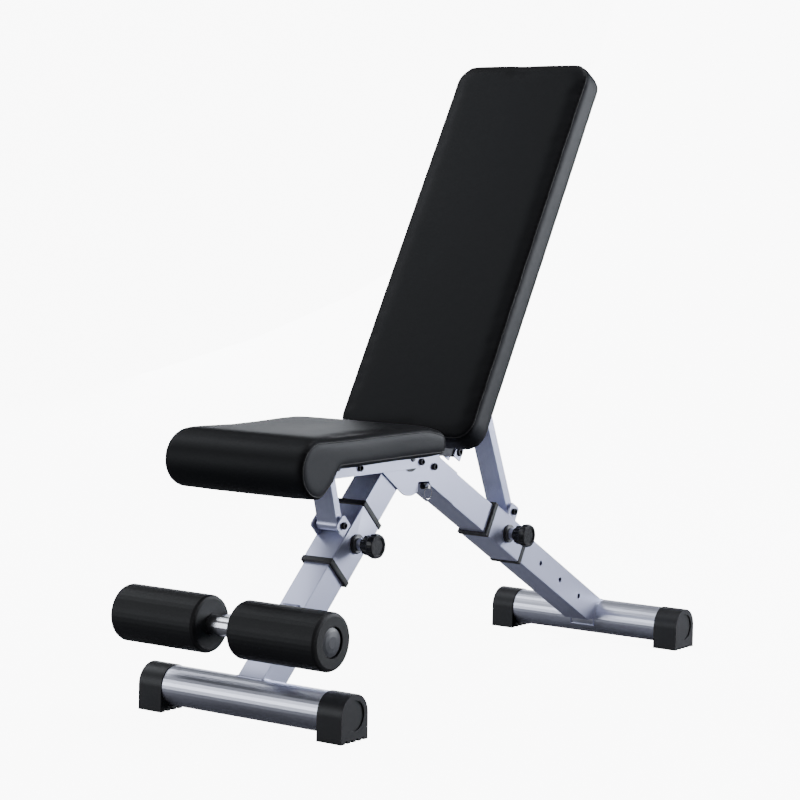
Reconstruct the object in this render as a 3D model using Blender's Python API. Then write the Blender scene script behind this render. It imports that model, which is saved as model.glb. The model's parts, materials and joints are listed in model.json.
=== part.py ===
"""Folding adjustable weight bench, modelled in metres with +X across, +Y to the rear and +Z up.

Two 50 mm tube legs lean together at a hub. A sleeve slides on each leg: the front one carries a
strut that sets the seat, the rear one a strut that sets the backrest. The origin is on the floor
in the middle of the bench's box. Side-view points are (y, z) measured from the front edge of the
front foot, and at() moves them to the origin's frame.
"""
from math import atan2, cos, hypot, pi, radians, sin

import bmesh
import bpy
from mathutils import Matrix, Vector

GAP = 0.0003  # between pieces that touch
FRONT_EDGE = -0.5027  # y of the front foot's front edge

# Feet
FOOT_HALF = 0.200
FOOT_TUBE_R = 0.0317
FOOT_HEIGHT = 0.0392
FRONT_FOOT_Y = 0.0332
REAR_FOOT_Y = 1.0411
CAP_WIDTH = 0.0466
CAP_DEPTH = 0.0666
TREAD_PITCH = 0.0135
TREAD_DEPTH = 0.0040
CAP_TOP_R = 0.0331

# Legs, whose centre lines start beside the foot tubes' centres
FRONT_BASE = (0.0332, 0.0365)
REAR_BASE = (1.0411, 0.0394)
FRONT_ANGLE = radians(44.45)
REAR_ANGLE = radians(29.41)
LEG_HALF_X = 0.0248
LEG_HALF_D = 0.0261
LEG_WALL = 0.002
LEG_END_R = 0.0124
HOLE_R = 0.0048
REAR_HOLES = (0.0996, 0.1763, 0.2530, 0.3215)  # up from the rear foot along the leg
REAR_PIN = 0.3872
FRONT_HOLES = (0.2700,)
FRONT_PIN = 0.3155

# Hub
PIVOT = (0.407, 0.384)  # seat and front leg turn here
HUB_BOLT = (0.4733, 0.3651)
BACK_PIVOT = (0.5717, 0.3812)
PLATE_IN, PLATE_OUT = 0.0253, 0.0283
RAIL_IN, RAIL_OUT = 0.0297, 0.0322
BOLT_R = 0.0042
HEAD_R = 0.0060
WASHER_R = 0.0225
LOCK_PIN = (0.4435, 0.3350)

# Sleeves
SLEEVE_LENGTH = 0.130
COLLAR = 0.010
SLEEVE_IN_X, SLEEVE_OUT_X = 0.0258, 0.0290
SLEEVE_IN_D, SLEEVE_OUT_D = 0.0271, 0.0303
FRONT_EAR, REAR_EAR = 0.0446, 0.0418  # strut pivots above the legs' centre lines
KNOB_END = 0.0740
KNOB_R = 0.0203

# Seat
SEAT_HALF = 0.137
SEAT_TOP, SEAT_BOTTOM = 0.4487, 0.4000
ROLL = (0.0227, 0.4020)
ROLL_R = 0.0467
SEAT_STRUT_TOP = (0.2000, 0.3850)
RAIL_BOLT = (0.2613, 0.3794)
STOP_SCREW = (0.4307, 0.3767)

# Backrest
BACK_ANGLE = radians(60.474)
BACK_FACE = (0.4588, 0.5000)  # a point on the pad's front face
BACK_LOW, BACK_HIGH = -0.0925, 0.6329  # along the pad from that point
BACK_HALF = 0.1374
BACK_THICK = 0.0508
BACK_CORNER = 0.036
BACK_STRUT_TOP = (0.5914, 0.5718)

# Leg rollers
ROLLER = (-0.0243, 0.1577)
ROLLER_R = 0.0448
ROLLER_IN, ROLLER_OUT = 0.0317, 0.2002
ROLLER_TUBE_R = 0.0155
END_DISC_R = 0.0220


def at(y, z):
    return y + FRONT_EDGE, z


def clear_scene():
    for thing in list(bpy.data.objects):
        bpy.data.objects.remove(thing, do_unlink=True)


def material(name, colour, roughness, metallic):
    made = bpy.data.materials.new(name)
    made.use_nodes = True
    shader = made.node_tree.nodes["Principled BSDF"]
    shader.inputs["Base Color"].default_value = (*colour, 1.0)
    shader.inputs["Roughness"].default_value = roughness
    shader.inputs["Metallic"].default_value = metallic
    return made


def make_object(name, mesh, finish):
    thing = bpy.data.objects.new(name, mesh)
    bpy.context.collection.objects.link(thing)
    colour, roughness, metallic = finish
    mesh.materials.append(material(name, colour, roughness, metallic))
    return thing


def mesh_from(name, work):
    bmesh.ops.recalc_face_normals(work, faces=work.faces)
    mesh = bpy.data.meshes.new(name)
    work.to_mesh(mesh)
    work.free()
    return mesh


def prism(name, outline, x0, x1, finish):
    """A side-view outline of (y, z) points, extruded from x0 to x1."""
    work = bmesh.new()
    face = work.faces.new([work.verts.new((x0, *at(y, z))) for y, z in outline])
    grown = bmesh.ops.extrude_face_region(work, geom=[face])
    moved = [v for v in grown["geom"] if isinstance(v, bmesh.types.BMVert)]
    bmesh.ops.translate(work, verts=moved, vec=(x1 - x0, 0, 0))
    return make_object(name, mesh_from(name, work), finish)


def turned(name, profile, centre, finish, segments=28):
    """A closed (x, radius) profile turned about the X axis through centre (y, z)."""
    work = bmesh.new()
    rings = []
    y0, z0 = at(*centre)
    for x, radius in profile:
        if radius < 1e-6:
            rings.append([work.verts.new((x, y0, z0))])
            continue
        angles = [2 * pi * k / segments for k in range(segments)]
        rings.append([work.verts.new((x, y0 + radius * cos(a), z0 + radius * sin(a))) for a in angles])
    closed = profile[0][1] > 1e-6 and profile[-1][1] > 1e-6
    pairs = list(zip(rings, rings[1:])) + ([(rings[-1], rings[0])] if closed else [])
    for a, b in pairs:
        for k in range(segments):
            j = (k + 1) % segments
            corners = [a[k % len(a)], a[j % len(a)], b[j % len(b)], b[k % len(b)]]
            work.faces.new(list(dict.fromkeys(corners)))
    mesh = mesh_from(name, work)
    mesh.shade_smooth()
    mesh.set_sharp_from_angle(angle=radians(40))
    return make_object(name, mesh, finish)


def box_between(name, start, end, half_x, half_d, finish, wall=0.0, centre_x=0.0):
    """A straight bar between two side-view points, hollow and open-ended if it has a wall."""
    (y0, z0), (y1, z1) = at(*start), at(*end)
    length = hypot(y1 - y0, z1 - z0)
    along = Vector((0, (y1 - y0) / length, (z1 - z0) / length))
    up = Vector((0, -along.z, along.y))

    def ring(origin, hx, hd):
        corners = ((-1, -1), (1, -1), (1, 1), (-1, 1))
        return [work.verts.new(origin + Vector((centre_x + sx * hx, 0, 0)) + up * sd * hd) for sx, sd in corners]

    work = bmesh.new()
    ends = [Vector((0, y0, z0)), Vector((0, y1, z1))]
    outer = [ring(p, half_x, half_d) for p in ends]
    loops = [outer[0], outer[1]]
    if wall:
        inner = [ring(p, half_x - wall, half_d - wall) for p in ends]
        loops += [inner[1], inner[0], outer[0]]
    for a, b in zip(loops, loops[1:]):
        for k in range(4):
            j = (k + 1) % 4
            work.faces.new((a[k], a[j], b[j], b[k]))
    if not wall:
        work.faces.new(outer[0])
        work.faces.new(outer[1])
    return make_object(name, mesh_from(name, work), finish)


def carve(thing, cutter, operation="DIFFERENCE"):
    """Cut with, or join, a hidden tool shape."""
    cutter.hide_render = True
    cutter.display_type = "WIRE"
    step = thing.modifiers.new(cutter.name, "BOOLEAN")
    step.operation = operation
    step.solver = "EXACT"
    step.object = cutter
    return thing


def drill(thing, centre, radius, x0=-0.06, x1=0.06):
    count = len(thing.modifiers)
    profile = [(x0, 0), (x0, radius), (x1, radius), (x1, 0)]
    return carve(thing, turned(f"{thing.name}_hole_{count}", profile, centre, STEEL, 20))


def rounded(thing, width, segments=2, angle=radians(40)):
    step = thing.modifiers.new("edge", "BEVEL")
    step.width = width
    step.segments = segments
    step.limit_method = "ANGLE"
    step.angle_limit = angle
    return thing


def arc(centre, radius, start, end, count):
    """Points on an arc, angles in degrees from +Y towards +Z."""
    steps = [radians(start + (end - start) * k / (count - 1)) for k in range(count)]
    return [(centre[0] + radius * cos(a), centre[1] + radius * sin(a)) for a in steps]


def front_leg_point(distance, side=0.0):
    """A point up the front leg, moved sideways towards its upper face."""
    y = FRONT_BASE[0] + distance * cos(FRONT_ANGLE) - side * sin(FRONT_ANGLE)
    return y, FRONT_BASE[1] + distance * sin(FRONT_ANGLE) + side * cos(FRONT_ANGLE)


def rear_leg_point(distance, side=0.0):
    """A point up the rear leg, moved sideways towards its upper face."""
    y = REAR_BASE[0] - distance * cos(REAR_ANGLE) + side * sin(REAR_ANGLE)
    return y, REAR_BASE[1] + distance * sin(REAR_ANGLE) + side * cos(REAR_ANGLE)


def back_point(along, depth):
    """A point on the backrest: along it from BACK_FACE, and behind its front face."""
    y = BACK_FACE[0] + along * cos(BACK_ANGLE) + depth * sin(BACK_ANGLE)
    z = BACK_FACE[1] + along * sin(BACK_ANGLE) - depth * cos(BACK_ANGLE)
    return y, z


PAINT = ((0.50, 0.52, 0.60), 0.38, 0.55)
STEEL = ((0.55, 0.56, 0.58), 0.30, 1.0)
BLACK_STEEL = ((0.012, 0.012, 0.014), 0.40, 0.6)
PLASTIC = ((0.018, 0.018, 0.020), 0.45, 0.0)
VINYL = ((0.022, 0.022, 0.025), 0.42, 0.0)
FOAM = ((0.020, 0.020, 0.022), 0.85, 0.0)


def bolt(name, centre, half, head=0.0045, head_r=HEAD_R, finish=BLACK_STEEL, socket=True):
    """A bolt across the bench with a socket head on +X and a nut of the same outline on -X."""
    out = half + head
    profile = [(-out, 0), (-out, head_r * 0.85), (-half - 0.001, head_r), (-half, head_r), (-half, BOLT_R)]
    profile += [(half, BOLT_R), (half, head_r), (out - 0.001, head_r), (out, head_r * 0.85)]
    if socket:
        profile += [(out, 0.0036), (out - 0.003, 0.0036), (out - 0.003, 0)]
    else:
        profile += [(out, 0)]
    return turned(name, profile, centre, finish, 24)


def shoulder_screw(name, side, centre, inner, plate_out):
    """A screw through one cheek of a clevis, with its head outside."""
    xs = [inner, plate_out + GAP, plate_out + 0.0045]
    profile = [(xs[0], 0), (xs[0], BOLT_R), (xs[1], BOLT_R), (xs[1], HEAD_R), (xs[2] - 0.001, HEAD_R)]
    profile += [(xs[2], HEAD_R * 0.85), (xs[2], 0.0036), (xs[2] - 0.003, 0.0036), (xs[2] - 0.003, 0)]
    return turned(name, [(side * x, r) for x, r in profile], centre, BLACK_STEEL, 24)


def foot(prefix, foot_y):
    """A cross tube with a moulded cap on each end."""
    inner = FOOT_HALF - CAP_WIDTH
    centre = (foot_y, FOOT_HEIGHT)
    reach = inner + 0.030
    bore = FOOT_TUBE_R - 0.002
    profile = [(-reach, FOOT_TUBE_R), (reach, FOOT_TUBE_R), (reach, bore), (-reach, bore)]
    turned(f"{prefix}_foot_tube", profile, centre, PAINT, 40)
    for side, word in ((-1, "left"), (1, "right")):
        half = CAP_DEPTH / 2
        outline = [(foot_y - half, 0), (foot_y + half, 0)] + arc(centre, CAP_TOP_R, 0, 180, 21)
        x0, x1 = sorted((side * inner, side * FOOT_HALF))
        cap = prism(f"{prefix}_foot_cap_{word}", outline, x0, x1, PLASTIC)
        socket = [(side * (inner - 0.001), 0), (side * (inner - 0.001), FOOT_TUBE_R + GAP)]
        socket += [(side * (reach + GAP), FOOT_TUBE_R + GAP), (side * (reach + GAP), 0)]
        carve(cap, turned(f"{prefix}_cap_socket_{word}", socket, centre, PLASTIC, 40))
        face = side * FOOT_HALF
        dish = [(face - side * 0.0022, 0), (face - side * 0.0022, 0.0235), (face + side * 0.001, 0.0235), (face + side * 0.001, 0)]
        carve(cap, turned(f"{prefix}_cap_dish_{word}", dish, centre, PLASTIC, 32))
        for k in range(-2, 2):
            middle = foot_y + (k + 0.5) * TREAD_PITCH
            groove = [(middle - 0.0032, -0.002), (middle + 0.0032, -0.002), (middle + 0.0024, TREAD_DEPTH),
                      (middle - 0.0024, TREAD_DEPTH)]
            carve(cap, prism(f"{prefix}_cap_tread_{word}_{k}", groove, x0 - 0.001, x1 + 0.001, PLASTIC))


def front_leg():
    """The tube rises from the front foot to the pivot, where it is trimmed low and rounded."""
    low = front_leg_point(0.0, -LEG_HALF_D)
    high = front_leg_point(0.0, LEG_HALF_D)
    top_z = PIVOT[1] + LEG_END_R
    rise = (top_z - high[1]) / sin(FRONT_ANGLE)
    corner = (high[0] + rise * cos(FRONT_ANGLE), top_z)
    outline = [low] + arc(PIVOT, LEG_END_R, -45.55, 90, 8) + [corner, high]
    leg = prism("front_leg", outline, -LEG_HALF_X, LEG_HALF_X, PAINT)
    carve(leg, box_between("front_leg_bore", front_leg_point(-0.02), front_leg_point(0.45),
                           LEG_HALF_X - LEG_WALL, LEG_HALF_D - LEG_WALL, PAINT))
    trim_to_foot(leg, (FRONT_FOOT_Y, FOOT_HEIGHT))
    drill(leg, PIVOT, BOLT_R + 0.0006)
    for distance in FRONT_HOLES + (FRONT_PIN,):
        drill(leg, front_leg_point(distance), HOLE_R)
    return leg


def rear_leg():
    """The tube rises from the rear foot and ends on a slant inside the hub."""
    outline = [rear_leg_point(0.0, -LEG_HALF_D), rear_leg_point(0.0, LEG_HALF_D),
               rear_leg_point(0.6244, LEG_HALF_D), rear_leg_point(0.6490, -LEG_HALF_D)]
    leg = prism("rear_leg", outline, -LEG_HALF_X, LEG_HALF_X, PAINT)
    carve(leg, box_between("rear_leg_bore", rear_leg_point(-0.02), rear_leg_point(0.70),
                           LEG_HALF_X - LEG_WALL, LEG_HALF_D - LEG_WALL, PAINT))
    trim_to_foot(leg, (REAR_FOOT_Y, FOOT_HEIGHT))
    for distance in REAR_HOLES + (REAR_PIN,):
        drill(leg, rear_leg_point(distance), HOLE_R)
    return leg


def trim_to_foot(leg, centre):
    """Cope the leg's end over the foot tube."""
    radius = FOOT_TUBE_R + GAP
    profile = [(-0.06, 0), (-0.06, radius), (0.06, radius), (0.06, 0)]
    carve(leg, turned(f"{leg.name}_cope", profile, centre, PAINT, 40))
    low = box_between(f"{leg.name}_below", (centre[0] - 0.08, centre[1] - 0.030),
                      (centre[0] + 0.08, centre[1] - 0.030), 0.06, 0.030, PAINT)
    carve(leg, low)


def hub_plates():
    """Two cheeks on the rear leg's sides that hold every pivot of the hub."""
    lobe = arc((0.4070, 0.3674), 0.046, 233, 297, 9)
    outline = [(0.3300, 0.3656)] + lobe + [(0.4293, 0.3427), (0.4610, 0.3412)]
    outline += [rear_leg_point(0.6490, -LEG_HALF_D), rear_leg_point(0.5700, -LEG_HALF_D)]
    outline += [rear_leg_point(0.5850, LEG_HALF_D), rear_leg_point(0.6440, LEG_HALF_D)]
    outline += [(0.4800, 0.3920), (0.3560, 0.3920), (0.3300, 0.3800)]
    for side, word in ((-1, "left"), (1, "right")):
        x0, x1 = sorted((side * PLATE_IN, side * PLATE_OUT))
        plate = prism(f"hub_plate_{word}", outline, x0, x1, PAINT)
        for centre in (PIVOT, HUB_BOLT):
            drill(plate, centre, BOLT_R + 0.0004)
        x0, x1 = sorted((side * (PLATE_OUT + GAP), side * (RAIL_IN - GAP)))
        washer = prism(f"pivot_washer_{word}", arc(PIVOT, WASHER_R, 148, 392, 25), x0, x1, PLASTIC)
        drill(washer, PIVOT, BOLT_R + 0.0006)
    bolt("pivot_bolt", PIVOT, RAIL_OUT + GAP, 0.0016, finish=PAINT, socket=False)
    bolt("hub_bolt", HUB_BOLT, PLATE_OUT + GAP)


def hinge_arm():
    """The black bar from the hub bolt to the backrest's pivot."""
    outline = arc(HUB_BOLT, 0.0105, 150, 300, 8)
    outline += [(0.4900, 0.3620), (0.5020, 0.3790), (0.5480, 0.3760)]
    outline += arc(BACK_PIVOT, 0.0098, 245, 430, 9)
    outline += [(0.5480, 0.3990), (0.4860, 0.4010), (0.4680, 0.3900)]
    arm = prism("hinge_arm", outline, -0.0093, 0.0093, BLACK_STEEL)
    drill(arm, HUB_BOLT, BOLT_R + 0.0004)
    drill(arm, BACK_PIVOT, BOLT_R + 0.0006)
    for side, word in ((-1, "left"), (1, "right")):
        spacer = [(side * 0.0096, BOLT_R + 0.0004), (side * 0.0096, 0.0090),
                  (side * (PLATE_IN - GAP), 0.0090), (side * (PLATE_IN - GAP), BOLT_R + 0.0004)]
        turned(f"hub_spacer_{word}", spacer, HUB_BOLT, STEEL, 24)


def sleeve(prefix, point, mid, ear_side):
    """A square sleeve on a leg with end collars, clevis cheeks, and a barrel for its knob."""
    half = SLEEVE_LENGTH / 2
    end = half - COLLAR - GAP
    body = box_between(f"{prefix}_sleeve", point(mid - end), point(mid + end),
                       SLEEVE_OUT_X, SLEEVE_OUT_D, PAINT, SLEEVE_OUT_X - SLEEVE_IN_X)
    ear = point(mid, ear_side)
    reach, top = 0.0135, ear_side + 0.0125
    local = [(-reach, SLEEVE_OUT_D - 0.001), (reach, SLEEVE_OUT_D - 0.001), (reach, top - 0.0035),
             (reach - 0.0035, top), (0.0035 - reach, top), (-reach, top - 0.0035)]
    for side in (-1, 1):
        x0, x1 = sorted((side * 0.0236, side * 0.0266))
        cheek = prism(f"{prefix}_ear_{side}", [point(mid + a, out) for a, out in local], x0, x1, PAINT)
        carve(body, cheek, "UNION")
    drill(body, ear, BOLT_R + 0.0004)
    drill(body, point(mid), 0.0055, 0.0200, 0.0400)
    wall = 0.0012 + SLEEVE_OUT_X - LEG_HALF_X - GAP
    for near, far, word in ((-half, COLLAR - half, "lower"), (half - COLLAR, half, "upper")):
        box_between(f"{prefix}_collar_{word}", point(mid + near), point(mid + far),
                    SLEEVE_OUT_X + 0.0012, SLEEVE_OUT_D + 0.0012, PLASTIC, wall)
    barrel = [(SLEEVE_OUT_X + GAP, 0.0048), (SLEEVE_OUT_X + GAP, 0.0160), (0.0330, 0.0160), (0.0340, 0.0140),
              (0.0340, 0.0105), (0.0440, 0.0105), (0.0440, 0.0048)]
    turned(f"{prefix}_plunger_barrel", barrel, point(mid), STEEL, 28)
    bolt(f"{prefix}_strut_bolt", ear, 0.0266 + GAP)
    knob(prefix, point(mid))
    return ear


def knob(prefix, centre):
    """A fluted grip on a sprung pin."""
    flutes = 14
    count = flutes * 4
    stations = ((0.0475, 0.0140, 0.0012), (0.0488, 0.0162, 0.0030), (0.0600, 0.0168, 0.0030),
                (0.0620, 0.0196, 0.0016), (0.0636, KNOB_R, 0.0014), (0.0716, KNOB_R, 0.0014), (KNOB_END, 0.0188, 0.0))
    work = bmesh.new()
    y0, z0 = at(*centre)
    rings = []
    for x, radius, depth in stations:
        ring = []
        for k in range(count):
            turn_angle = 2 * pi * k / count
            r = radius - depth * (1 - cos(flutes * turn_angle)) / 2
            ring.append(work.verts.new((x, y0 + r * cos(turn_angle), z0 + r * sin(turn_angle))))
        rings.append(ring)
    for a, b in zip(rings, rings[1:]):
        for k in range(count):
            work.faces.new((a[k], a[(k + 1) % count], b[(k + 1) % count], b[k]))
    work.faces.new(rings[0])
    work.faces.new(rings[-1])
    grip = make_object(f"{prefix}_knob", mesh_from(f"{prefix}_knob", work), PLASTIC)
    socket = [(0.0470, 0), (0.0470, 0.0043), (0.0600, 0.0043), (0.0600, 0)]
    carve(grip, turned(f"{prefix}_knob_socket", socket, centre, PLASTIC, 20))
    dish = [(KNOB_END - 0.0018, 0), (KNOB_END - 0.0018, 0.0145), (KNOB_END + 0.001, 0.0145), (KNOB_END + 0.001, 0)]
    carve(grip, turned(f"{prefix}_knob_dish", dish, centre, PLASTIC, 28))
    tip = LEG_HALF_X + GAP
    pin = [(tip, 0), (tip, 0.0030), (tip + 0.0010, 0.0040), (0.0597, 0.0040), (0.0597, 0)]
    turned(f"{prefix}_pin", pin, centre, STEEL, 20)


def seat_outline():
    """The seat pad from the side: a level board that drops into a round roll at the front."""
    outline = [(0.3590, SEAT_BOTTOM), (0.3590, 0.4300)]
    outline += [(0.3510, 0.4386), (0.3200, 0.4460), (0.2900, SEAT_TOP)]
    outline += arc(ROLL, ROLL_R, 90, 284, 18)
    outline += [(0.0530, 0.3720), (0.0625, 0.3790), (0.0740, SEAT_BOTTOM)]
    return outline


def seat():
    rounded(prism("seat_pad", seat_outline(), -SEAT_HALF, SEAT_HALF, VINYL), 0.006, 2, radians(60))
    top = SEAT_BOTTOM - 0.0006
    rail_outline = [(0.1000, 0.3800), (0.1060, 0.3670), (0.4485, 0.3670), (0.4485, 0.3930), (0.4200, top - 0.0005),
                    (0.1000, top - 0.0005)]
    frame = box_between("seat_frame", (0.1000, top - 0.0013), (0.3000, top - 0.0013), 0.0310, 0.0013, PAINT)
    for side in (-1, 1):
        x0, x1 = sorted((side * RAIL_IN, side * RAIL_OUT))
        carve(frame, prism(f"seat_rail_{side}", rail_outline, x0, x1, PAINT), "UNION")
        x0, x1 = sorted((side * 0.0300, side * 0.1000))
        for y in (0.1300, 0.2700):
            strip = [(y - 0.0125, top - 0.0023), (y + 0.0125, top - 0.0023), (y + 0.0125, top - 0.0002),
                     (y - 0.0125, top - 0.0002)]
            carve(frame, prism(f"seat_cross_{side}_{y}", strip, x0, x1, PAINT), "UNION")
    drill(frame, PIVOT, BOLT_R + 0.0006)
    for centre in (RAIL_BOLT, STOP_SCREW, SEAT_STRUT_TOP):
        drill(frame, centre, BOLT_R + 0.0003)
    bolt("seat_rail_bolt_front", RAIL_BOLT, RAIL_OUT + GAP, 0.0035)
    for side, word in ((-1, "left"), (1, "right")):
        shoulder_screw(f"seat_stop_screw_{word}", side, STOP_SCREW, RAIL_IN + 0.0002, RAIL_OUT)
        shoulder_screw(f"seat_strut_screw_{word}", side, SEAT_STRUT_TOP, 0.0206, RAIL_OUT)


def strut(name, low, high, half_x, half_d, end_r):
    """A rectangular tube with flattened ends round its pivots."""
    bar = box_between(name, low, high, half_x, half_d, PAINT)
    for centre in (low, high):
        profile = [(-half_x, 0), (-half_x, end_r), (half_x, end_r), (half_x, 0)]
        carve(bar, turned(f"{name}_end_{centre[0]}", profile, centre, PAINT, 24), "UNION")
    drill(bar, low, BOLT_R + 0.0006)
    return bar


def backrest():
    half_length = (BACK_HIGH - BACK_LOW) / 2
    centre = (BACK_HIGH + BACK_LOW) / 2
    work = bmesh.new()
    corners = ((1, 1, 0), (-1, 1, 90), (-1, -1, 180), (1, -1, 270))
    ring = []
    for sx, sl, start in corners:
        for k in range(7):
            a = radians(start + 15 * k)
            x = sx * (BACK_HALF - BACK_CORNER) + BACK_CORNER * cos(a)
            along = centre + sl * (half_length - BACK_CORNER) + BACK_CORNER * sin(a)
            ring.append((x, along))
    verts = [work.verts.new((x, *at(*back_point(along, 0)))) for x, along in ring]
    face = work.faces.new(verts)
    grown = bmesh.ops.extrude_face_region(work, geom=[face])
    moved = [v for v in grown["geom"] if isinstance(v, bmesh.types.BMVert)]
    depth = Vector((0, sin(BACK_ANGLE), -cos(BACK_ANGLE))) * BACK_THICK
    bmesh.ops.translate(work, verts=moved, vec=depth)
    rounded(make_object("backrest_pad", mesh_from("backrest_pad", work), VINYL), 0.006, 2, radians(60))

    web = BACK_THICK + 0.0020
    half_web = 0.0015
    frame = box_between("backrest_frame", back_point(-0.0400, web), back_point(0.4700, web), 0.0240, half_web, PAINT)
    inset = web + half_web + GAP
    rail = [back_point(0.0600, inset), back_point(0.4690, inset), back_point(0.4690, 0.075),
            back_point(0.4400, 0.097), back_point(0.0600, 0.097)]
    lug = [back_point(-0.0390, inset), back_point(-0.0390, 0.070), back_point(-0.0200, 0.100),
           back_point(-0.0200, 0.1454), back_point(-0.0610, 0.1454), back_point(-0.0610, 0.1668),
           back_point(0.0200, 0.1668), back_point(0.0500, 0.0970), back_point(0.0500, inset)]
    for side, word in ((-1, "left"), (1, "right")):
        x0, x1 = sorted((side * 0.0211, side * 0.0236))
        drill(prism(f"back_rail_{word}", rail, x0, x1, PAINT), BACK_STRUT_TOP, BOLT_R + 0.0003)
        x0, x1 = sorted((side * 0.0098, side * 0.0125))
        drill(prism(f"back_lug_{word}", lug, x0, x1, PAINT), BACK_PIVOT, BOLT_R + 0.0006)
        for along in (0.0200, 0.4200):
            strip = [back_point(along + a, web + out) for a, out in
                     ((-0.0125, -0.0012), (0.0125, -0.0012), (0.0125, 0.0012), (-0.0125, 0.0012))]
            x2, x3 = sorted((side * 0.0230, side * 0.1000))
            carve(frame, prism(f"back_cross_{side}_{along}", strip, x2, x3, PAINT), "UNION")
        shoulder_screw(f"back_strut_screw_{word}", side, BACK_STRUT_TOP, 0.0206, 0.0236)
    bolt("back_pivot_bolt", BACK_PIVOT, 0.0125 + GAP, 0.0030, 0.0072)


def rollers():
    """Two foam rollers on a cross tube, carried by an arm from the front leg."""
    bore = 0.0130
    recess = 0.0050
    reach = ROLLER_OUT - recess - GAP
    tube = [(-reach, ROLLER_TUBE_R), (reach, ROLLER_TUBE_R), (reach, bore), (-reach, bore)]
    turned("roller_tube", tube, ROLLER, STEEL, 28)
    face = front_leg_point(0.0, LEG_HALF_D + GAP)
    rise = (ROLLER[1] - face[1]) / sin(FRONT_ANGLE)
    meet = (face[0] + rise * cos(FRONT_ANGLE), ROLLER[1])
    slope = 0.015 / sin(FRONT_ANGLE) * cos(FRONT_ANGLE)
    outline = [(ROLLER[0], ROLLER[1] - 0.015), (meet[0] - slope, meet[1] - 0.015), (meet[0] + slope, meet[1] + 0.015),
               (ROLLER[0], ROLLER[1] + 0.015)]
    arm = prism("roller_arm", outline, -0.0150, 0.0150, PAINT)
    cope = [(-0.06, 0), (-0.06, ROLLER_TUBE_R + GAP), (0.06, ROLLER_TUBE_R + GAP), (0.06, 0)]
    carve(arm, turned("roller_arm_cope", cope, ROLLER, PAINT, 28))
    nose = box_between("roller_arm_nose", (ROLLER[0] - 0.030, ROLLER[1]), (ROLLER[0] + 0.004, ROLLER[1]), 0.03, 0.03, PAINT)
    carve(arm, nose)
    for side, word in ((-1, "left"), (1, "right")):
        edge = 0.006
        inner_r = ROLLER_TUBE_R + 0.0005
        step = ROLLER_OUT - recess
        soft = [(ROLLER_IN, inner_r), (ROLLER_IN, ROLLER_R - edge), (ROLLER_IN + 0.0018, ROLLER_R - 0.0018),
                (ROLLER_IN + edge, ROLLER_R), (ROLLER_OUT - edge, ROLLER_R), (ROLLER_OUT - 0.0018, ROLLER_R - 0.0018),
                (ROLLER_OUT, ROLLER_R - edge), (ROLLER_OUT, END_DISC_R + 0.0020), (step, END_DISC_R + 0.0020),
                (step, inner_r)]
        turned(f"foam_roller_{word}", [(side * x, r) for x, r in soft], ROLLER, FOAM, 40)
        stem = bore - 0.0004
        disc = [(step - 0.0300, 0), (step - 0.0300, stem), (step + GAP, stem), (step + GAP, END_DISC_R),
                (step + 0.0022, END_DISC_R), (ROLLER_OUT - 0.0010, END_DISC_R * 0.75), (ROLLER_OUT, END_DISC_R * 0.4),
                (ROLLER_OUT, 0)]
        turned(f"roller_cap_{word}", [(side * x, r) for x, r in disc], ROLLER, PLASTIC, 32)


def lock_pin():
    """The ringed pin that holds the front leg when it is folded away."""
    barrel = [(0.0256, 0.0025), (0.0256, 0.0052), (0.0335, 0.0052), (0.0335, 0.0025)]
    turned("lock_barrel", barrel, LOCK_PIN, BLACK_STEEL, 20)
    pin = [(0.0258, 0), (0.0258, 0.0021), (0.0345, 0.0021), (0.0345, 0.0034), (0.0405, 0.0034), (0.0405, 0)]
    stem = turned("lock_pin", pin, LOCK_PIN, STEEL, 20)
    y0, z0 = at(*LOCK_PIN)
    ring_r, wire = 0.0105, 0.0008
    eye = bmesh.new()
    bmesh.ops.create_cone(eye, cap_ends=True, segments=12, radius1=0.0013, radius2=0.0013, depth=0.02,
                          matrix=Matrix.Translation((0.0380, y0, z0)) @ Matrix.Rotation(pi / 2, 4, "X"))
    carve(stem, make_object("lock_pin_eye", mesh_from("lock_pin_eye", eye), STEEL))
    ring = bmesh.new()
    loops = []
    for k in range(28):
        a = 2 * pi * k / 28
        loop = []
        for j in range(8):
            b = 2 * pi * j / 8
            r = ring_r + wire * cos(b)
            loop.append(ring.verts.new((0.0380 + wire * sin(b), y0 + r * sin(a), z0 - ring_r + r * cos(a))))
        loops.append(loop)
    for a, b in zip(loops, loops[1:] + loops[:1]):
        for j in range(8):
            ring.faces.new((a[j], a[(j + 1) % 8], b[(j + 1) % 8], b[j]))
    make_object("lock_ring", mesh_from("lock_ring", ring), STEEL)


def build():
    clear_scene()
    foot("front", FRONT_FOOT_Y)
    foot("rear", REAR_FOOT_Y)
    front_leg()
    rear_leg()
    hub_plates()
    hinge_arm()
    front_ear = sleeve("front", front_leg_point, FRONT_PIN, FRONT_EAR)
    rear_ear = sleeve("rear", rear_leg_point, REAR_PIN, REAR_EAR)
    seat()
    strut("seat_strut", front_ear, SEAT_STRUT_TOP, 0.0200, 0.0065, 0.0095)
    backrest()
    strut("back_strut", rear_ear, BACK_STRUT_TOP, 0.0200, 0.0085, 0.0110)
    rollers()
    lock_pin()


build()
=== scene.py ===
# %% [markdown]
# # Adjustable weight bench
# The frame of this bench comes ready made: tubes, sleeves, bolts and pads with their true sizes,
# already sorted into the bodies that move. This lesson dresses it. It rounds the tubes, stuffs the
# two pads by a cloth simulation, sews their seams, and mixes a finish for every surface.

# %% Load the frame
import json
from math import cos, radians, sin, sqrt

import bmesh
import bpy
from mathutils import Matrix, Vector
from mathutils.bvhtree import BVHTree


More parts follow.
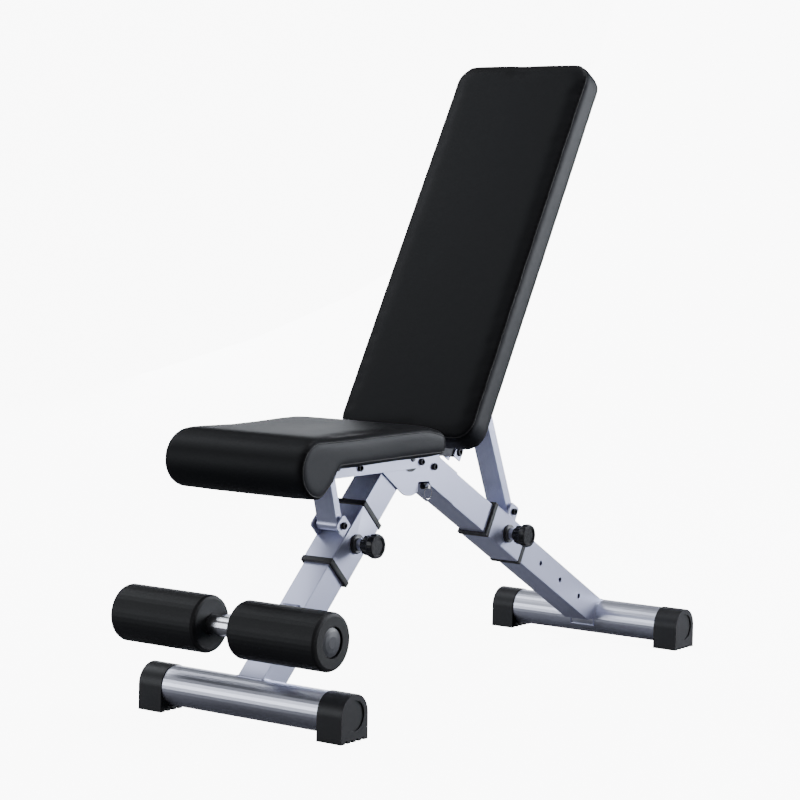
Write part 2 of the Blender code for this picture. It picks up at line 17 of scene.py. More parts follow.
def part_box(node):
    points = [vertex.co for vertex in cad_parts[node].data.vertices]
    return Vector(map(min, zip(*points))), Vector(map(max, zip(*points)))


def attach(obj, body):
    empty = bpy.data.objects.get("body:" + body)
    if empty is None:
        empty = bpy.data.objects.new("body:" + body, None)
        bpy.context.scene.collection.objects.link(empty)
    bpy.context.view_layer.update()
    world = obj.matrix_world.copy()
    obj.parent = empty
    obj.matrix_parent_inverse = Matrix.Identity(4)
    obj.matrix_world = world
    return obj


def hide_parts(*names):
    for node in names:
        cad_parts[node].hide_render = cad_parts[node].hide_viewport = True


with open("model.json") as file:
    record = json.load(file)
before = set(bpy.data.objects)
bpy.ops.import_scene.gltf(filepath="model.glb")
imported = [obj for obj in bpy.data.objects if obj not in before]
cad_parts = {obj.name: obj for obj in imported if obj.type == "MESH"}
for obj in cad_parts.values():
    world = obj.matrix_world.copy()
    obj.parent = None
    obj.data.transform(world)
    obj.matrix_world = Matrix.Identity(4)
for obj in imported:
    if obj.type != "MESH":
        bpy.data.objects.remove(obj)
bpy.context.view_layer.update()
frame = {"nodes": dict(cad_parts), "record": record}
nodes = frame["nodes"]
body_for = {node: body for body, held in frame["record"]["behaviour"]["bodies"].items() for node in held}

# %% [markdown]
# ## Camera
# A long lens from a few metres away keeps the upright edges nearly parallel, as a catalogue picture
# does. The camera's own axes are worked out from its compass angle, its height angle and a small
# roll, because a rotation made from axes is easier to check than three Euler angles.

# %% Camera
CAMERA_PLACE = (2.28726, -3.28511, 0.79517)
AZIMUTH, ELEVATION, ROLL = radians(35.602), radians(4.615), radians(1.107)
LENS, SENSOR = 107.52, 36  # millimetres

back = Vector((sin(AZIMUTH) * cos(ELEVATION), -cos(AZIMUTH) * cos(ELEVATION), sin(ELEVATION)))
right = Vector((cos(AZIMUTH), sin(AZIMUTH), 0))
up = back.cross(right)
rolled_right = right * cos(ROLL) + up * sin(ROLL)
rolled_up = up * cos(ROLL) - right * sin(ROLL)

camera = bpy.data.objects.new("camera", bpy.data.cameras.new("camera"))
camera.data.lens = LENS
camera.data.sensor_width = SENSOR
turned = Matrix((rolled_right, rolled_up, back)).transposed().to_4x4()
camera.matrix_world = Matrix.Translation(CAMERA_PLACE) @ turned
bpy.context.collection.objects.link(camera)
bpy.context.scene.camera = camera
print("camera", round(Vector(CAMERA_PLACE).length, 2), "m from the origin")

# %% [markdown]
# ## Studio
# The bench stands on a pale sweep, a floor that curves up into a wall, so no horizon shows. Metal
# shows what it mirrors, so each large soft light is placed where one family of faces mirrors it: the
# key for the tubes' upper faces, the side panel for the flat sides, and one behind for the seat.

# %% Sweep and lights
SWEEP_START, SWEEP_R = 2.6, 1.6  # where the floor starts to curve up, and the curve's radius
SWEEP_HALF, SWEEP_TOP = 9.0, 7.0

bends = [radians(a) for a in range(9, 91, 9)]
profile = [(-SWEEP_HALF, 0.0), (SWEEP_START, 0.0)]
profile += [(SWEEP_START + SWEEP_R * sin(a), SWEEP_R * (1 - cos(a))) for a in bends]
profile += [(SWEEP_START + SWEEP_R, SWEEP_TOP)]
work = bmesh.new()
rows = [[work.verts.new((x, y, z)) for x in (-SWEEP_HALF, SWEEP_HALF)] for y, z in profile]
for low, high in zip(rows, rows[1:]):
    work.faces.new((low[0], low[1], high[1], high[0]))
sweep_mesh = bpy.data.meshes.new("sweep")
work.to_mesh(sweep_mesh)
work.free()
sweep_mesh.shade_smooth()
sweep = bpy.data.objects.new("sweep", sweep_mesh)
bpy.context.collection.objects.link(sweep)

COOL = (0.90, 0.94, 1.0)
AIM = Vector((0, 0, 0.4))
ROOM_COLOUR, ROOM_GLOW = (0.96, 0.97, 1.0, 1), 0.32
LIGHTS = (  # name, place, width and watts
    ("key", (-3.0, -0.7, 3.4), 2.0, 50),
    ("front_panel", (-3.0, -4.3, 0.8), 2.8, 95),
    ("side_panel", (2.7, 3.6, 0.8), 2.8, 430),
    ("behind", (-2.8, 3.8, 0.9), 2.4, 55),
    ("overhead", (0.3, 0.9, 3.6), 1.2, 45),
)
for name, place, size, power in LIGHTS:
    light = bpy.data.lights.new(name, "AREA")
    light.shape = "DISK"
    light.size = size
    light.energy = power
    light.color = COOL
    lamp = bpy.data.objects.new(name, light)
    lamp.location = place
    lamp.visible_camera = False
    lamp.rotation_euler = (AIM - Vector(place)).to_track_quat("-Z", "Y").to_euler()
    bpy.context.collection.objects.link(lamp)

world = bpy.data.worlds.new("studio")
world.use_nodes = True
glow = world.node_tree.nodes["Background"]
glow.inputs["Color"].default_value = ROOM_COLOUR
glow.inputs["Strength"].default_value = ROOM_GLOW
bpy.context.scene.world = world
print(len(LIGHTS), "lights")

# %% [markdown]
# ## Writing finishes as sums
# A finish is a small graph of shader nodes. Wiring each node by hand hides the idea, so two small
# classes do it: Tap is a value that can be added and multiplied, and Finish holds one material.
# Then a roughness that wanders by a tenth is written as 0.4 + 0.1 * noise.

# %% Tap and Finish
class Tap:
    """One value in a finish's graph. Sums with it add Math nodes."""

    def __init__(self, finish, socket):
        self.finish = finish
        self.socket = socket

    def sum(self, operation, first, second):
        return self.finish.add("Math", {"operation": operation}, {0: first, 1: second})

    def __add__(self, other):
        return self.sum("ADD", self, other)

    def __sub__(self, other):
        return self.sum("SUBTRACT", self, other)

    def __mul__(self, other):
        return self.sum("MULTIPLY", self, other)

    def __radd__(self, other):
        return self.sum("ADD", other, self)

    def __rsub__(self, other):
        return self.sum("SUBTRACT", other, self)

    def __rmul__(self, other):
        return self.sum("MULTIPLY", other, self)


class Finish:
    """One material, with its shader's fixed values given by name."""

    def __init__(self, name, fixed):
        self.material = bpy.data.materials.new(name)
        self.material.use_nodes = True
        self.tree = self.material.node_tree
        self.shader = self.tree.nodes["Principled BSDF"]
        for socket, value in fixed.items():
            self.shader.inputs[socket].default_value = value

    def feed(self, socket, value):
        if isinstance(value, Tap):
            self.tree.links.new(value.socket, socket)
        else:
            socket.default_value = value

    def add(self, kind, settings=None, sockets=None, output=0):
        """A node of any kind: its settings are made first, then its sockets are fed."""
        made = self.tree.nodes.new("ShaderNode" + kind)
        for name, value in (settings or {}).items():
            setattr(made, name, value)
        for name, value in (sockets or {}).items():
            self.feed(made.inputs[name], value)
        return Tap(self, made.outputs[output])

    def place(self):
        """The surface's own coordinates in metres, which move with the piece."""
        return self.add("TexCoord", output=3)

    def noise(self, scale, detail=2.0, place=None):
        sockets = {"Vector": place or self.place(), "Scale": scale, "Detail": detail}
        return self.add("TexNoise", {}, sockets)

    def blend(self, factor, first, second):
        return self.add("Mix", {"data_type": "RGBA"}, {0: factor, 6: first, 7: second}, 2)

    def bump(self, height, strength, distance):
        sockets = {"Height": height, "Strength": strength, "Distance": distance}
        self.set("Normal", self.add("Bump", {}, sockets))

    def set(self, socket, value):
        self.feed(self.shader.inputs[socket], value)


def steps(finish, value, low, high):
    """0 below low, 1 above high, and a straight ramp between."""
    return finish.add("MapRange", {"clamp": True}, {"Value": value, "From Min": low, "From Max": high})


# %% [markdown]
# ## The sweep's paper
# Real product pictures light the backdrop by itself, brighter than anything that stands on it, and
# keep black cards near the object so its undersides stay dark. Two shaders do both: what looks at
# the sweep directly sees glowing paper, and what the bench reflects is a dim grey card.

# %% Sweep paper
PAPER_GLOW = 9.0
CARD_GREY = (0.20, 0.20, 0.215, 1)

paper = Finish("sweep_paper", {
    "Roughness": 0.9, "Specular IOR Level": 0.1, "Base Color": (0.88, 0.88, 0.88, 1),
    "Emission Color": (1, 1, 1, 1), "Emission Strength": PAPER_GLOW,
})
card = paper.add("BsdfDiffuse", {}, {"Color": CARD_GREY})
seen = paper.add("LightPath")
mixed = paper.add("MixShader", {}, {0: seen, 1: card, 2: Tap(paper, paper.shader.outputs[0])})
paper.feed(paper.tree.nodes["Material Output"].inputs["Surface"], mixed)
sweep_mesh.materials.append(paper.material)
print("sweep paper glows at", PAPER_GLOW)

# %% [markdown]
# ## Painted tube
# The tubes wear a silver paint with a hint of lavender. Powder paint flows into a very fine orange
# peel, and its metal flake makes the colour wander a little, so both the colour and the roughness
# ride on noise, one coarse and one fine.

# %% Painted tube
CLOUD_SCALE, PEEL_SCALE, FLAKE_SCALE = 5, 700, 2600  # features a metre
FLAKE_COLOUR, FLAKE_SHARE = (0.84, 0.85, 0.95, 1), 0.22


def silver_paint(name, metal, low, high, roughness):
    finish = Finish(name, {"Metallic": metal, "Specular IOR Level": 0.5})
    cloud = finish.noise(CLOUD_SCALE, 2.0)
    flake = finish.noise(FLAKE_SCALE, 1.0)
    tint = finish.blend(cloud, low, high)
    finish.set("Base Color", finish.blend(FLAKE_SHARE * flake, tint, FLAKE_COLOUR))
    finish.set("Roughness", roughness + 0.03 * cloud + 0.07 * flake)
    finish.bump(finish.noise(PEEL_SCALE, 2.0), 0.07, 0.0002)
    return finish.material


SILVER = silver_paint("silver_paint", 0.50, (0.455, 0.475, 0.650, 1), (0.495, 0.515, 0.690, 1), 0.30)
BRIGHT_SILVER = silver_paint("bright_silver_paint", 0.93, (0.60, 0.61, 0.70, 1), (0.66, 0.67, 0.76, 1), 0.31)
print("paints:", SILVER.name, "and", BRIGHT_SILVER.name)

# %% [markdown]
# ## Steel, black steel and moulded plastic
# Turned steel has fine rings, black oxide is a dull blue-black with paler rubbed patches, and
# moulded plastic has the sparkle-free grain of an etched mould. Each needs a different noise scale:
# grain below half a millimetre, patches of a few centimetres.

# %% Steel and plastic
RING_SCALE, RUBBED_SCALE, OXIDE_GRAIN = 900, 90, 1400
MOULD_GRAIN, MOULD_PATCH, BARREL_GRAIN = 1700, 40, 1500
FLANGE_END, BARREL_START = 0.0338, 0.0344  # across the bench, where a plunger turns from black to bare


def turned_steel():
    finish = Finish("turned_steel", {"Metallic": 1.0})
    stretched = finish.add("Mapping", {}, {"Vector": finish.place(), "Scale": (3.0, 0.25, 0.25)})
    lines = finish.noise(RING_SCALE, 2.0, stretched)
    finish.set("Base Color", finish.blend(lines, (0.52, 0.52, 0.54, 1), (0.74, 0.74, 0.77, 1)))
    finish.set("Roughness", 0.16 + 0.14 * lines)
    finish.bump(lines, 0.12, 0.0001)
    return finish.material


def black_oxide():
    finish = Finish("black_oxide", {"Metallic": 0.75})
    rubbed = finish.noise(RUBBED_SCALE, 4.0)
    finish.set("Base Color", finish.blend(rubbed, (0.008, 0.008, 0.010, 1), (0.035, 0.036, 0.042, 1)))
    finish.set("Roughness", 0.28 + 0.20 * rubbed)
    finish.bump(finish.noise(OXIDE_GRAIN, 2.0), 0.15, 0.0001)
    return finish.material


def moulded_plastic(name, dark, pale, roughness):
    finish = Finish(name, {"Specular IOR Level": 0.30})
    grain = finish.noise(MOULD_GRAIN, 3.0)
    patch = finish.noise(MOULD_PATCH, 3.0)
    finish.set("Base Color", finish.blend(patch, dark, pale))
    finish.set("Roughness", roughness + 0.10 * grain + 0.05 * patch)
    finish.bump(grain, 0.35, 0.00012)
    return finish.material


def plunger_barrel():
    """A black flange against the sleeve, and a dark turned barrel beyond it."""
    finish = Finish("plunger_barrel", {})
    across = finish.add("SeparateXYZ", {}, {0: finish.place()})
    bare = steps(finish, across, FLANGE_END, BARREL_START)
    finish.set("Base Color", finish.blend(bare, (0.015, 0.015, 0.017, 1), (0.40, 0.40, 0.43, 1)))
    finish.set("Metallic", bare)
    finish.set("Roughness", 0.24 + 0.16 * (1 - bare))
    finish.bump(finish.noise(BARREL_GRAIN, 2.0), 0.10, 0.0001)
    return finish.material


STEEL = turned_steel()
PLUNGER = plunger_barrel()
BLACK_STEEL = black_oxide()
PLASTIC = moulded_plastic("black_plastic", (0.0150, 0.0150, 0.0168, 1), (0.0240, 0.0240, 0.0268, 1), 0.38)
GLOSSY_PLASTIC = moulded_plastic("glossy_plastic", (0.010, 0.010, 0.011, 1), (0.016, 0.016, 0.018, 1), 0.20)
GREY_PLASTIC = moulded_plastic("grey_plastic", (0.060, 0.062, 0.070, 1), (0.085, 0.087, 0.096, 1), 0.34)
hard = (STEEL, PLUNGER, BLACK_STEEL, PLASTIC, GLOSSY_PLASTIC, GREY_PLASTIC)
print("metals and plastics:", [m.name for m in hard])

# %% [markdown]
# ## Leatherette and foam
# The pads wear a black leatherette. Its grain is a net of tiny rounded cells about a millimetre
# across, which a Voronoi texture gives directly, with slack wrinkles far below it. Surfaces that face
# sideways are painted a shade paler than the faces, as painted light from the side. Roller foam is
# smoother, with open pores instead of cells.

# %% Leatherette and foam
CELL_SCALE, WRINKLE_SCALE, HANDLED_SCALE = 820.0, 55, 9
PORE_SCALE, FOAM_PATCH = 1100.0, 20
SIDE_LIGHT_START, SIDE_LIGHT_END = 0.55, 0.80  # how far a surface faces sideways before it takes the paler colour of painted side light


def leatherette():
    finish = Finish("leatherette", {"Specular IOR Level": 0.13})
    place = finish.place()
    net = {"Vector": place, "Scale": CELL_SCALE, "Smoothness": 0.6}
    cells = finish.add("TexVoronoi", {"feature": "SMOOTH_F1"}, net)
    wrinkle = finish.noise(WRINKLE_SCALE, 4.0, place)
    handled = finish.noise(HANDLED_SCALE, 3.0, place)
    facing = finish.add("SeparateXYZ", {}, {0: finish.add("TexCoord", output=1)})
    # Surfaces that face sideways get a paler colour. It is painted light from the side, laid over the
    # leatherette's own black.
    side_light_share = steps(finish, facing * facing, SIDE_LIGHT_START, SIDE_LIGHT_END)
    face = finish.blend(handled, (0.0040, 0.0040, 0.0048, 1), (0.0068, 0.0068, 0.0080, 1))
    side = finish.blend(handled, (0.0125, 0.0128, 0.0160, 1), (0.0175, 0.0180, 0.0220, 1))
    finish.set("Base Color", finish.blend(side_light_share, face, side))
    finish.set("Roughness", 0.43 + 0.09 * cells + 0.08 * handled)
    finish.bump(0.55 * cells + 0.9 * wrinkle, 0.42, 0.00035)
    return finish.material


def roller_foam():
    finish = Finish("roller_foam", {"Specular IOR Level": 0.28})
    place = finish.place()
    pores = finish.add("TexVoronoi", {"feature": "F1"}, {"Vector": place, "Scale": PORE_SCALE})
    patch = finish.noise(FOAM_PATCH, 3.0, place)
    finish.set("Base Color", finish.blend(patch, (0.0040, 0.0040, 0.0046, 1), (0.0080, 0.0080, 0.0092, 1)))
    finish.set("Roughness", 0.46 + 0.12 * pores + 0.06 * patch)
    finish.bump(pores, 0.30, 0.00025)
    return finish.material


LEATHERETTE = leatherette()
WELT = moulded_plastic("welt_thread", (0.004, 0.004, 0.005, 1), (0.007, 0.007, 0.008, 1), 0.42)
ROLLER_FOAM = roller_foam()
print("soft finishes:", [m.name for m in (LEATHERETTE, WELT, ROLLER_FOAM)])

# %% [markdown]
# ## Finishes for the frame
# Every node of the frame names its material slot in the record, so one table sends each slot to its
# finish. A few nodes have a finish of their own: the round foot tubes are brighter than the square
# ones, the rollers' end caps are grey, the plunger barrels are black where they meet the sleeve, and
# the knobs are glossier than the other plastic.

# %% Dress the frame
FINISH_FOR = {
    "painted_frame": SILVER, "steel": STEEL, "black_steel": BLACK_STEEL,
    "black_plastic": PLASTIC, "leatherette": LEATHERETTE, "foam": ROLLER_FOAM,
}
slot_for = {part["node"]: part["material_slot"] for part in frame["record"]["subparts"]}
OWN_FINISH = {
    "roller_cap_left": GREY_PLASTIC, "roller_cap_right": GREY_PLASTIC,
    "front_foot_tube": BRIGHT_SILVER, "rear_foot_tube": BRIGHT_SILVER,
    "front_plunger_barrel": PLUNGER, "rear_plunger_barrel": PLUNGER,
    "front_knob": GLOSSY_PLASTIC, "rear_knob": GLOSSY_PLASTIC,
}


def finish_of(node):
    return OWN_FINISH.get(node, FINISH_FOR[slot_for[node]])


for name, node in nodes.items():
    node.data.materials.clear()
    node.data.materials.append(finish_of(name))
print(len(OWN_FINISH), "nodes have a finish of their own")

# %% [markdown]
# ## Rounded tubes and plates
# A rolled square tube has rounded corners, and a cut plate has a broken edge that catches a thin
# light. The CAD has neither, because a mechanism doesn't need them. A copy of each node's mesh gets
# a real bevel: on the tubes only along their length, on the rest along every crisp edge. Weighted
# normals then keep the broad faces looking flat, so only the narrow bevels curve the light.

# %% Soften the hard pieces
SAME_POINT = 1e-6
ROUNDED = (  # nodes, radius, shortest edge that is rounded, faces across the rounding
    (("front_leg", "rear_leg"), 0.0030, 0.12, 3),
    (("front_sleeve", "rear_sleeve"), 0.0028, 0.09, 3),
    (("front_collar_lower", "front_collar_upper"), 0.0012, 0.005, 2),
    (("rear_collar_lower", "rear_collar_upper"), 0.0012, 0.005, 2),
    (("seat_strut", "back_strut"), 0.0016, 0.03, 2),
    (("hub_plate_left", "hub_plate_right", "hinge_arm"), 0.0005, 0.004, 2),
    (("seat_frame", "backrest_frame", "roller_arm"), 0.0005, 0.004, 2),
)


def piece(name, mesh, body, finish):
    made = bpy.data.objects.new(name, mesh)
    bpy.context.collection.objects.link(made)
    mesh.materials.clear()
    mesh.materials.append(finish)
    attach(made, body)
    return made


def mesh_of(name, work, crease=40):
    mesh = bpy.data.meshes.new(name)
    work.to_mesh(mesh)
    work.free()
    mesh.shade_smooth()
    mesh.set_sharp_from_angle(angle=radians(crease))
    return mesh


def soften(node, width, shortest, rounds=2, crisp=50):
    """Replace a node with a copy whose crisp outer edges are rounded, if they are long enough."""
    work = bmesh.new()
    work.from_mesh(nodes[node].data)
    bmesh.ops.remove_doubles(work, verts=work.verts, dist=SAME_POINT)
    bmesh.ops.dissolve_limit(work, angle_limit=radians(0.6), verts=work.verts, edges=work.edges)
    crisp_edges = [e for e in work.edges if len(e.link_faces) == 2 and e.is_convex
                   and e.calc_face_angle() > radians(crisp) and e.calc_length() >= shortest]
    bmesh.ops.bevel(work, geom=crisp_edges, offset=width, segments=rounds, profile=0.5, affect="EDGES",
                    clamp_overlap=True)
    made = piece(f"{node}_rounded", mesh_of(node, work), body_for[node], finish_of(node))
    flat = made.modifiers.new("flat_faces", "WEIGHTED_NORMAL")
    flat.keep_sharp = True
    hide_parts(node)


for group, width, shortest, rounds in ROUNDED:
    for node in group:
        soften(node, width, shortest, rounds)
print(sum(len(row[0]) for row in ROUNDED), "tubes and plates rounded")

# %% [markdown]
# ## Rounded mouldings
# The foot caps and knobs are moulded, so no edge on them is sharp: a mould can't be, and a sharp
# plastic edge would chip. Their softened copies take a wider rounding than the steel plates do.

# %% Foot caps and knobs
CAP_ROUND, CAP_SHORTEST, CAP_CRISP = 0.0014, 0.004, 35
KNOB_ROUND, KNOB_SHORTEST, KNOB_CRISP = 0.0003, 0.0006, 30
KNOBS = ("front_knob", "rear_knob")
for node in nodes:
    if "_foot_cap_" in node:
        soften(node, CAP_ROUND, CAP_SHORTEST, crisp=CAP_CRISP)
    elif node in KNOBS:
        soften(node, KNOB_ROUND, KNOB_SHORTEST, crisp=KNOB_CRISP)
print("mouldings rounded")

# %% [markdown]
# ## Weld beads
# Each leg is coped over its foot tube and welded all round. A weld is a row of small overlapping
# ripples, so the bead is a thin tube whose radius swells once per ripple. Its path is where a
# slightly larger square tube would meet a slightly larger round one, solved point by point.

# %% Weld the legs to the feet
WELD_R = 0.0019
RIPPLE = 0.0032
CREST, TROUGH = 1.15, 0.85  # of the bead's radius
LEG_HALF_X, LEG_HALF_D = 0.0248, 0.0261
FRONT_LEAN, REAR_LEAN = radians(44.45), radians(29.41)
FRONT_BASE, REAR_BASE = (-0.4695, 0.0365), (0.5384, 0.0394)  # where the legs' centre lines start


def wire(name, radius, resolution, finish):
    """An empty curve, drawn as a round wire."""
    line = bpy.data.curves.new(name, "CURVE")
    line.dimensions = "3D"
    line.bevel_depth = radius
    line.bevel_resolution = resolution
    line.materials.append(finish)
    return line


def run(line, path, closed=True):
    """One run of a wire along a path."""
    spline = line.splines.new("POLY")
    spline.points.add(len(path) - 1)
    spline.use_cyclic_u = closed
    for point, place in zip(spline.points, path):
        point.co = (*place, 1)
    return spline


def hang(line, body):
    made = bpy.data.objects.new(line.name, line)
    bpy.context.collection.objects.link(made)
    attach(made, body)


def weld(name, path, body):
    line = wire(name, WELD_R, 2, SILVER)
    for number, point in enumerate(run(line, path).points):
        point.radius = CREST if number % 2 else TROUGH
    hang(line, body)


def middle_of(node):
    low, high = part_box(node)
    return (low + high) / 2


def evened(points, pitch):
    """Points at an even pitch along a closed path."""
    path = []
    for first, second in zip(points, points[1:] + points[:1]):
        first, second = Vector(first), Vector(second)
        count = max(1, round((second - first).length / pitch))
        path += [first.lerp(second, k / count) for k in range(count)]
    return path


def leg_weld(word, lean, facing, base):
    """The bead round a square leg that leans at an angle, where it meets its foot tube."""
    tube = middle_of(f"{word}_foot_tube")
    low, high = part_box(f"{word}_foot_tube")
    radius = (high.z - low.z) / 2
    along = Vector((0, facing * cos(lean), sin(lean)))
    side = Vector((0, -facing * sin(lean), cos(lean)))
    centre_off = side.dot(Vector((0, *base)) - Vector((0, tube.y, tube.z)))
    corners = [(sx * LEG_HALF_X, sd * LEG_HALF_D) for sx, sd in ((1, 1), (-1, 1), (-1, -1), (1, -1))]
    path = []
    for x, d in evened(corners, RIPPLE / 2):
        offset = d + centre_off
        if abs(offset) >= radius:
            continue
        rise = sqrt(radius * radius - offset * offset)
        path.append(Vector((x, tube.y, tube.z)) + side * offset + along * rise)
    weld(f"{word}_leg_weld", path, body_for[f"{word}_leg"])
    print(word, "weld", len(path), "ripples")


leg_weld("front", FRONT_LEAN, 1, FRONT_BASE)
leg_weld("rear", REAR_LEAN, -1, REAR_BASE)

# %% [markdown]
# ## Stuffed pads
# Each pad is a board with foam on it, and a cover pulled tight round both. A sculpted block looks
# dead, so the cover is inflated: the CAD solid is remeshed into even quads, drawn in by its seam
# allowance, and blown up by a cloth simulation with pressure and no gravity. A cap on how far a
# point may move keeps the pad's true size. Seams come last, because they lie on the final surface.

# %% Inflate a pad
VOXEL = 0.0055
SEAM_ALLOWANCE = 0.0014
GROWTH = 0.0042
PULL_IN = 0.0002
FRAMES = 20
PRESSURE = 4.0
STRETCH_STIFFNESS, BEND_STIFFNESS = 25, 4
SMOOTHINGS = 3


def solved(made):
    """A mesh of the object with its modifiers worked out."""
    return bpy.data.meshes.new_from_object(made.evaluated_get(bpy.context.evaluated_depsgraph_get()))


def remeshed(node):
    source = bpy.data.objects.new(f"{node}_cover", nodes[node].data.copy())
    bpy.context.collection.objects.link(source)
    step = source.modifiers.new("even", "REMESH")
    step.mode = "VOXEL"
    step.voxel_size = VOXEL
    even = solved(source)
    bpy.data.objects.remove(source)
    return even


def drawn_in(mesh, distance):
    for vertex, normal in [(v, v.normal.copy()) for v in mesh.vertices]:
        vertex.co -= normal * distance


def inflate(made):
    """Run the cloth, then keep every point within GROWTH of where it began, and not far inside it."""
    start = [(v.co.copy(), v.normal.copy()) for v in made.data.vertices]
    cloth = made.modifiers.new("cloth", "CLOTH")
    cloth.settings.use_pressure = True
    cloth.settings.uniform_pressure_force = PRESSURE
    cloth.settings.tension_stiffness = STRETCH_STIFFNESS
    cloth.settings.compression_stiffness = STRETCH_STIFFNESS
    cloth.settings.bending_stiffness = BEND_STIFFNESS
    cloth.settings.effector_weights.gravity = 0
    cloth.point_cache.frame_start = 1
    cloth.point_cache.frame_end = FRAMES
    scene = bpy.context.scene
    for number in range(1, FRAMES + 1):
        scene.frame_set(number)
    blown = solved(made)
    made.modifiers.clear()
    for vertex, (was, normal), now in zip(made.data.vertices, start, blown.vertices):
        move = now.co - was
        outward = move.dot(normal)
        move += normal * (max(outward, -PULL_IN) - outward)
        vertex.co = was + move * min(1, GROWTH / max(move.length, 1e-9))
    scene.frame_set(1)


def relaxed(made):
    """Smooth out the voxel steps and divide each face once."""
    work = bmesh.new()
    work.from_mesh(made.data)
    for _ in range(SMOOTHINGS):
        bmesh.ops.smooth_vert(work, verts=work.verts, factor=0.5,
                              use_axis_x=True, use_axis_y=True, use_axis_z=True)
    work.to_mesh(made.data)
    work.free()
    made.data.shade_smooth()
    finer = made.modifiers.new("finer", "SUBSURF")
    finer.levels = 1
    finer.render_levels = 1


def stuffed(node):
    mesh = remeshed(node)
    drawn_in(mesh, SEAM_ALLOWANCE)
    made = piece(f"{node}_cover", mesh, body_for[node], LEATHERETTE)
    bpy.context.view_layer.update()
    inflate(made)
    relaxed(made)
    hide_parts(node)
    print(made.name, len(made.data.vertices), "points")
    return made


SEAT = stuffed("seat_pad")
BACKREST = stuffed("backrest_pad")

# %% [markdown]
# ## Seams
# The cover has a face, a band and a base. Where the face meets the band, the two edges are turned
# in and sewn, which leaves a thin raised welt. It is a curve laid on the finished surface: its path
# is drawn as a neat outline, and each point then drops onto the nearest place of the cover.

# %% Sew a welt
WELT_R = 0.0011
WELT_PITCH = 0.006
WELT_INSET = 0.0022  # from the pad's corners and faces
REAR_WELT_INSET = 0.0035
WELT_CORNER = 0.0345


def welt(name, outline, cover, body):
    tree = BVHTree.FromObject(cover, bpy.context.evaluated_depsgraph_get())
    line = wire(name, WELT_R, 2, WELT)
    run(line, [tree.find_nearest(target)[0] for target in evened(outline, WELT_PITCH)])
    hang(line, body)


def rounded_rectangle(half_width, low, high, corner, count=9):
    """(across, along) points round a rectangle with round corners."""
    points = []
    for turn, (sx, y) in enumerate(((1, high), (-1, high), (-1, low), (1, low))):
        sy = 1 if y == high else -1
        centre = (sx * (half_width - corner), y - sy * corner)
        angles = [radians(90 * turn + 90 * k / (count - 1)) for k in range(count)]
        points += [(centre[0] + corner * cos(a), centre[1] + corner * sin(a)) for a in angles]
    return points


# %% [markdown]
# ### Backrest seams
# The backrest leans, so its outline is drawn in its own axes, across, along and out of its face.
# The pad's extent in those axes is measured on its CAD solid.

# %% Backrest seams
RECLINE = radians(60.474)
ACROSS = Vector((1, 0, 0))
ALONG = Vector((0, cos(RECLINE), sin(RECLINE)))
OUT = Vector((0, -sin(RECLINE), cos(RECLINE)))


def extent(node, axis):
    reach = [axis.dot(v.co) for v in nodes[node].data.vertices]
    return min(reach), max(reach)


back_low, back_high = extent("backrest_pad", ALONG)
back_rear, back_front = extent("backrest_pad", OUT)
back_half = extent("backrest_pad", ACROSS)[1]


def on_backrest(across, along, out):
    return ACROSS * across + ALONG * along + OUT * out


outline = rounded_rectangle(back_half - WELT_INSET, back_low + WELT_INSET, back_high - WELT_INSET,
                            WELT_CORNER)
heights = {
    "backrest_front_welt": back_front - WELT_INSET,
    "backrest_rear_welt": back_rear + REAR_WELT_INSET,
}
for name, height in heights.items():
    welt(name, [on_backrest(x, y, height) for x, y in outline], BACKREST, "backrest")
print("backrest pad", round(back_high - back_low, 4), "m long")

# %% [markdown]
# ### Seat seams
# The seat's cover wraps over the top and round the front roll in one strip, and a side panel closes
# each end. The seam follows the pad's side outline, which is the CAD solid's own edge at that end.

# %% Seat seams
def side_outline(node, side):
    """The ring of a solid's points that lie at one end of it, in order round the ring."""
    work = bmesh.new()
    work.from_mesh(nodes[node].data)
    bmesh.ops.remove_doubles(work, verts=work.verts, dist=SAME_POINT)
    bmesh.ops.dissolve_limit(work, angle_limit=radians(1), verts=work.verts, edges=work.edges)
    face = max(work.faces, key=lambda f: f.calc_area() * (f.normal.x * side > 0.99))
    ring = [v.co.copy() for v in face.verts]
    work.free()
    return ring


seat_half = extent("seat_pad", ACROSS)[1]
for side, word in ((-1, "left"), (1, "right")):
    across = side * (seat_half - WELT_INSET)
    ring = [Vector((across, p.y, p.z)) for p in side_outline("seat_pad", side)]
    welt(f"seat_{word}_welt", ring, SEAT, "seat")
print("seams sewn")

# %% [markdown]
# ## Back of the backrest pad
# Seen from behind or below, a pad isn't covered all over. The cover is pulled over the board's edge
# and stapled, and a thin black dust cloth hides its raw edges. The backrest's cloth is a thin sheet
# with round corners, and the staples are short wires set in a row just inside its edge.

# %% Dust cloth
CLOTH_INSET = 0.020
CLOTH_THICK = 0.0008
CLOTH_CORNER = 0.020
CORNER_POINTS = 7
WEFT_SCALE, FUZZ_SCALE = 260.0, 1200


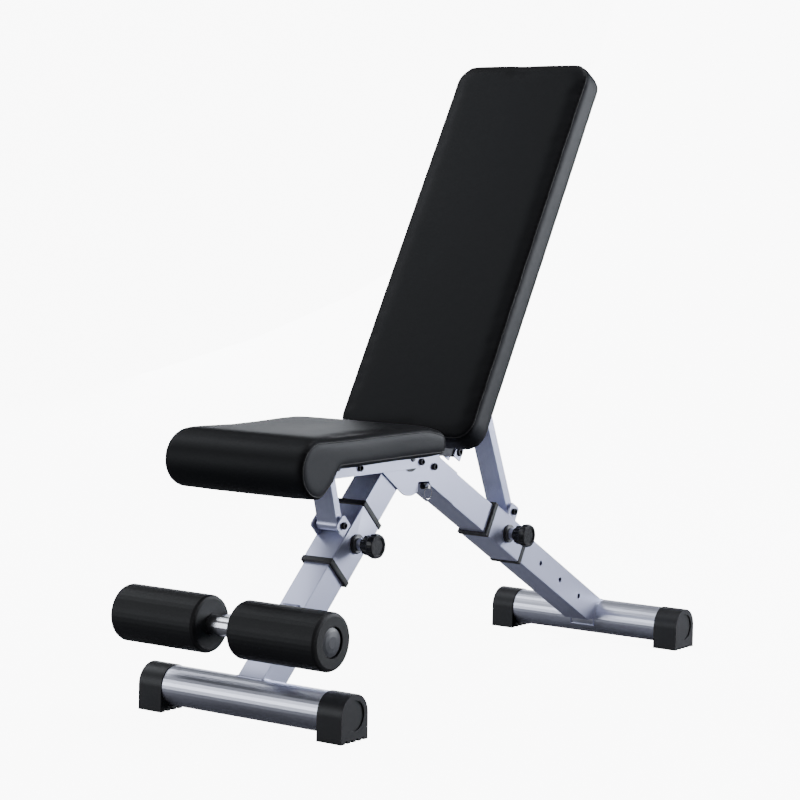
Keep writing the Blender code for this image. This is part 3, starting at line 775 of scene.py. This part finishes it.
def dust_cloth(name, place, half_width, low, high, corner, body):
    """A thin sheet with round corners. place(across, along, out) puts a point in the room."""
    work = bmesh.new()
    ring = rounded_rectangle(half_width, low, high, corner, CORNER_POINTS)
    face = work.faces.new([work.verts.new(place(x, y, 0.0)) for x, y in ring])
    grown = bmesh.ops.extrude_face_region(work, geom=[face])
    moved = [v for v in grown["geom"] if isinstance(v, bmesh.types.BMVert)]
    shift = place(0, 0, CLOTH_THICK) - place(0, 0, 0)
    bmesh.ops.translate(work, verts=moved, vec=shift)
    bmesh.ops.recalc_face_normals(work, faces=work.faces)
    piece(name, mesh_of(name, work), body, DUST_CLOTH)


def cloth_weave():
    finish = Finish("dust_cloth", {"Specular IOR Level": 0.15})
    place = finish.place()
    threads = {"Vector": place, "Scale": WEFT_SCALE, "Distortion": 0.4}
    weft = finish.add("TexWave", {"bands_direction": "X"}, threads)
    fuzz = finish.noise(FUZZ_SCALE, 3.0, place)
    finish.set("Base Color", finish.blend(fuzz, (0.006, 0.006, 0.007, 1), (0.018, 0.018, 0.020, 1)))
    finish.set("Roughness", 0.80 + 0.12 * fuzz)
    finish.bump(0.5 * weft + 0.5 * fuzz, 0.40, 0.0003)
    return finish.material


DUST_CLOTH = cloth_weave()
cloth_half = back_half - CLOTH_INSET


def behind_backrest(across, along, out):
    return on_backrest(across, along, back_rear - out + SEAM_ALLOWANCE - GROWTH * 0.25)


dust_cloth("backrest_dust_cloth", behind_backrest, cloth_half, back_low + CLOTH_INSET,
           back_high - CLOTH_INSET, CLOTH_CORNER, "backrest")
print("dust cloth", round(2 * cloth_half, 4), "m wide")

# %% Staples
STAPLE_GAP = 0.040
STAPLE_INSET = 0.006  # from the cloth's edge
STAPLE_CORNER = 0.018
STAPLE_HALF = 0.005
STAPLE_R = 0.0005
STAPLE_LIFT = 0.0004


def staples(name, place, half_width, low, high, corner, body):
    """Short wires along the cloth's edge, each parallel to it."""
    line = wire(name, STAPLE_R, 1, STEEL)
    line.use_fill_caps = True
    ring = [Vector(p) for p in rounded_rectangle(half_width, low, high, corner, CORNER_POINTS)]
    height = CLOTH_THICK + STAPLE_LIFT
    for first, second in zip(ring, ring[1:] + ring[:1]):
        held = int((second - first).length / STAPLE_GAP)
        half = (second - first).normalized() * STAPLE_HALF
        for k in range(held):
            middle = first.lerp(second, (k + 0.5) / held)
            run(line, [place(*end, height) for end in (middle - half, middle + half)], closed=False)
    hang(line, body)
    print(name, len(line.splines), "staples")


edge = CLOTH_INSET + STAPLE_INSET
staples("backrest_staples", behind_backrest, back_half - edge, back_low + edge, back_high - edge,
        STAPLE_CORNER, "backrest")
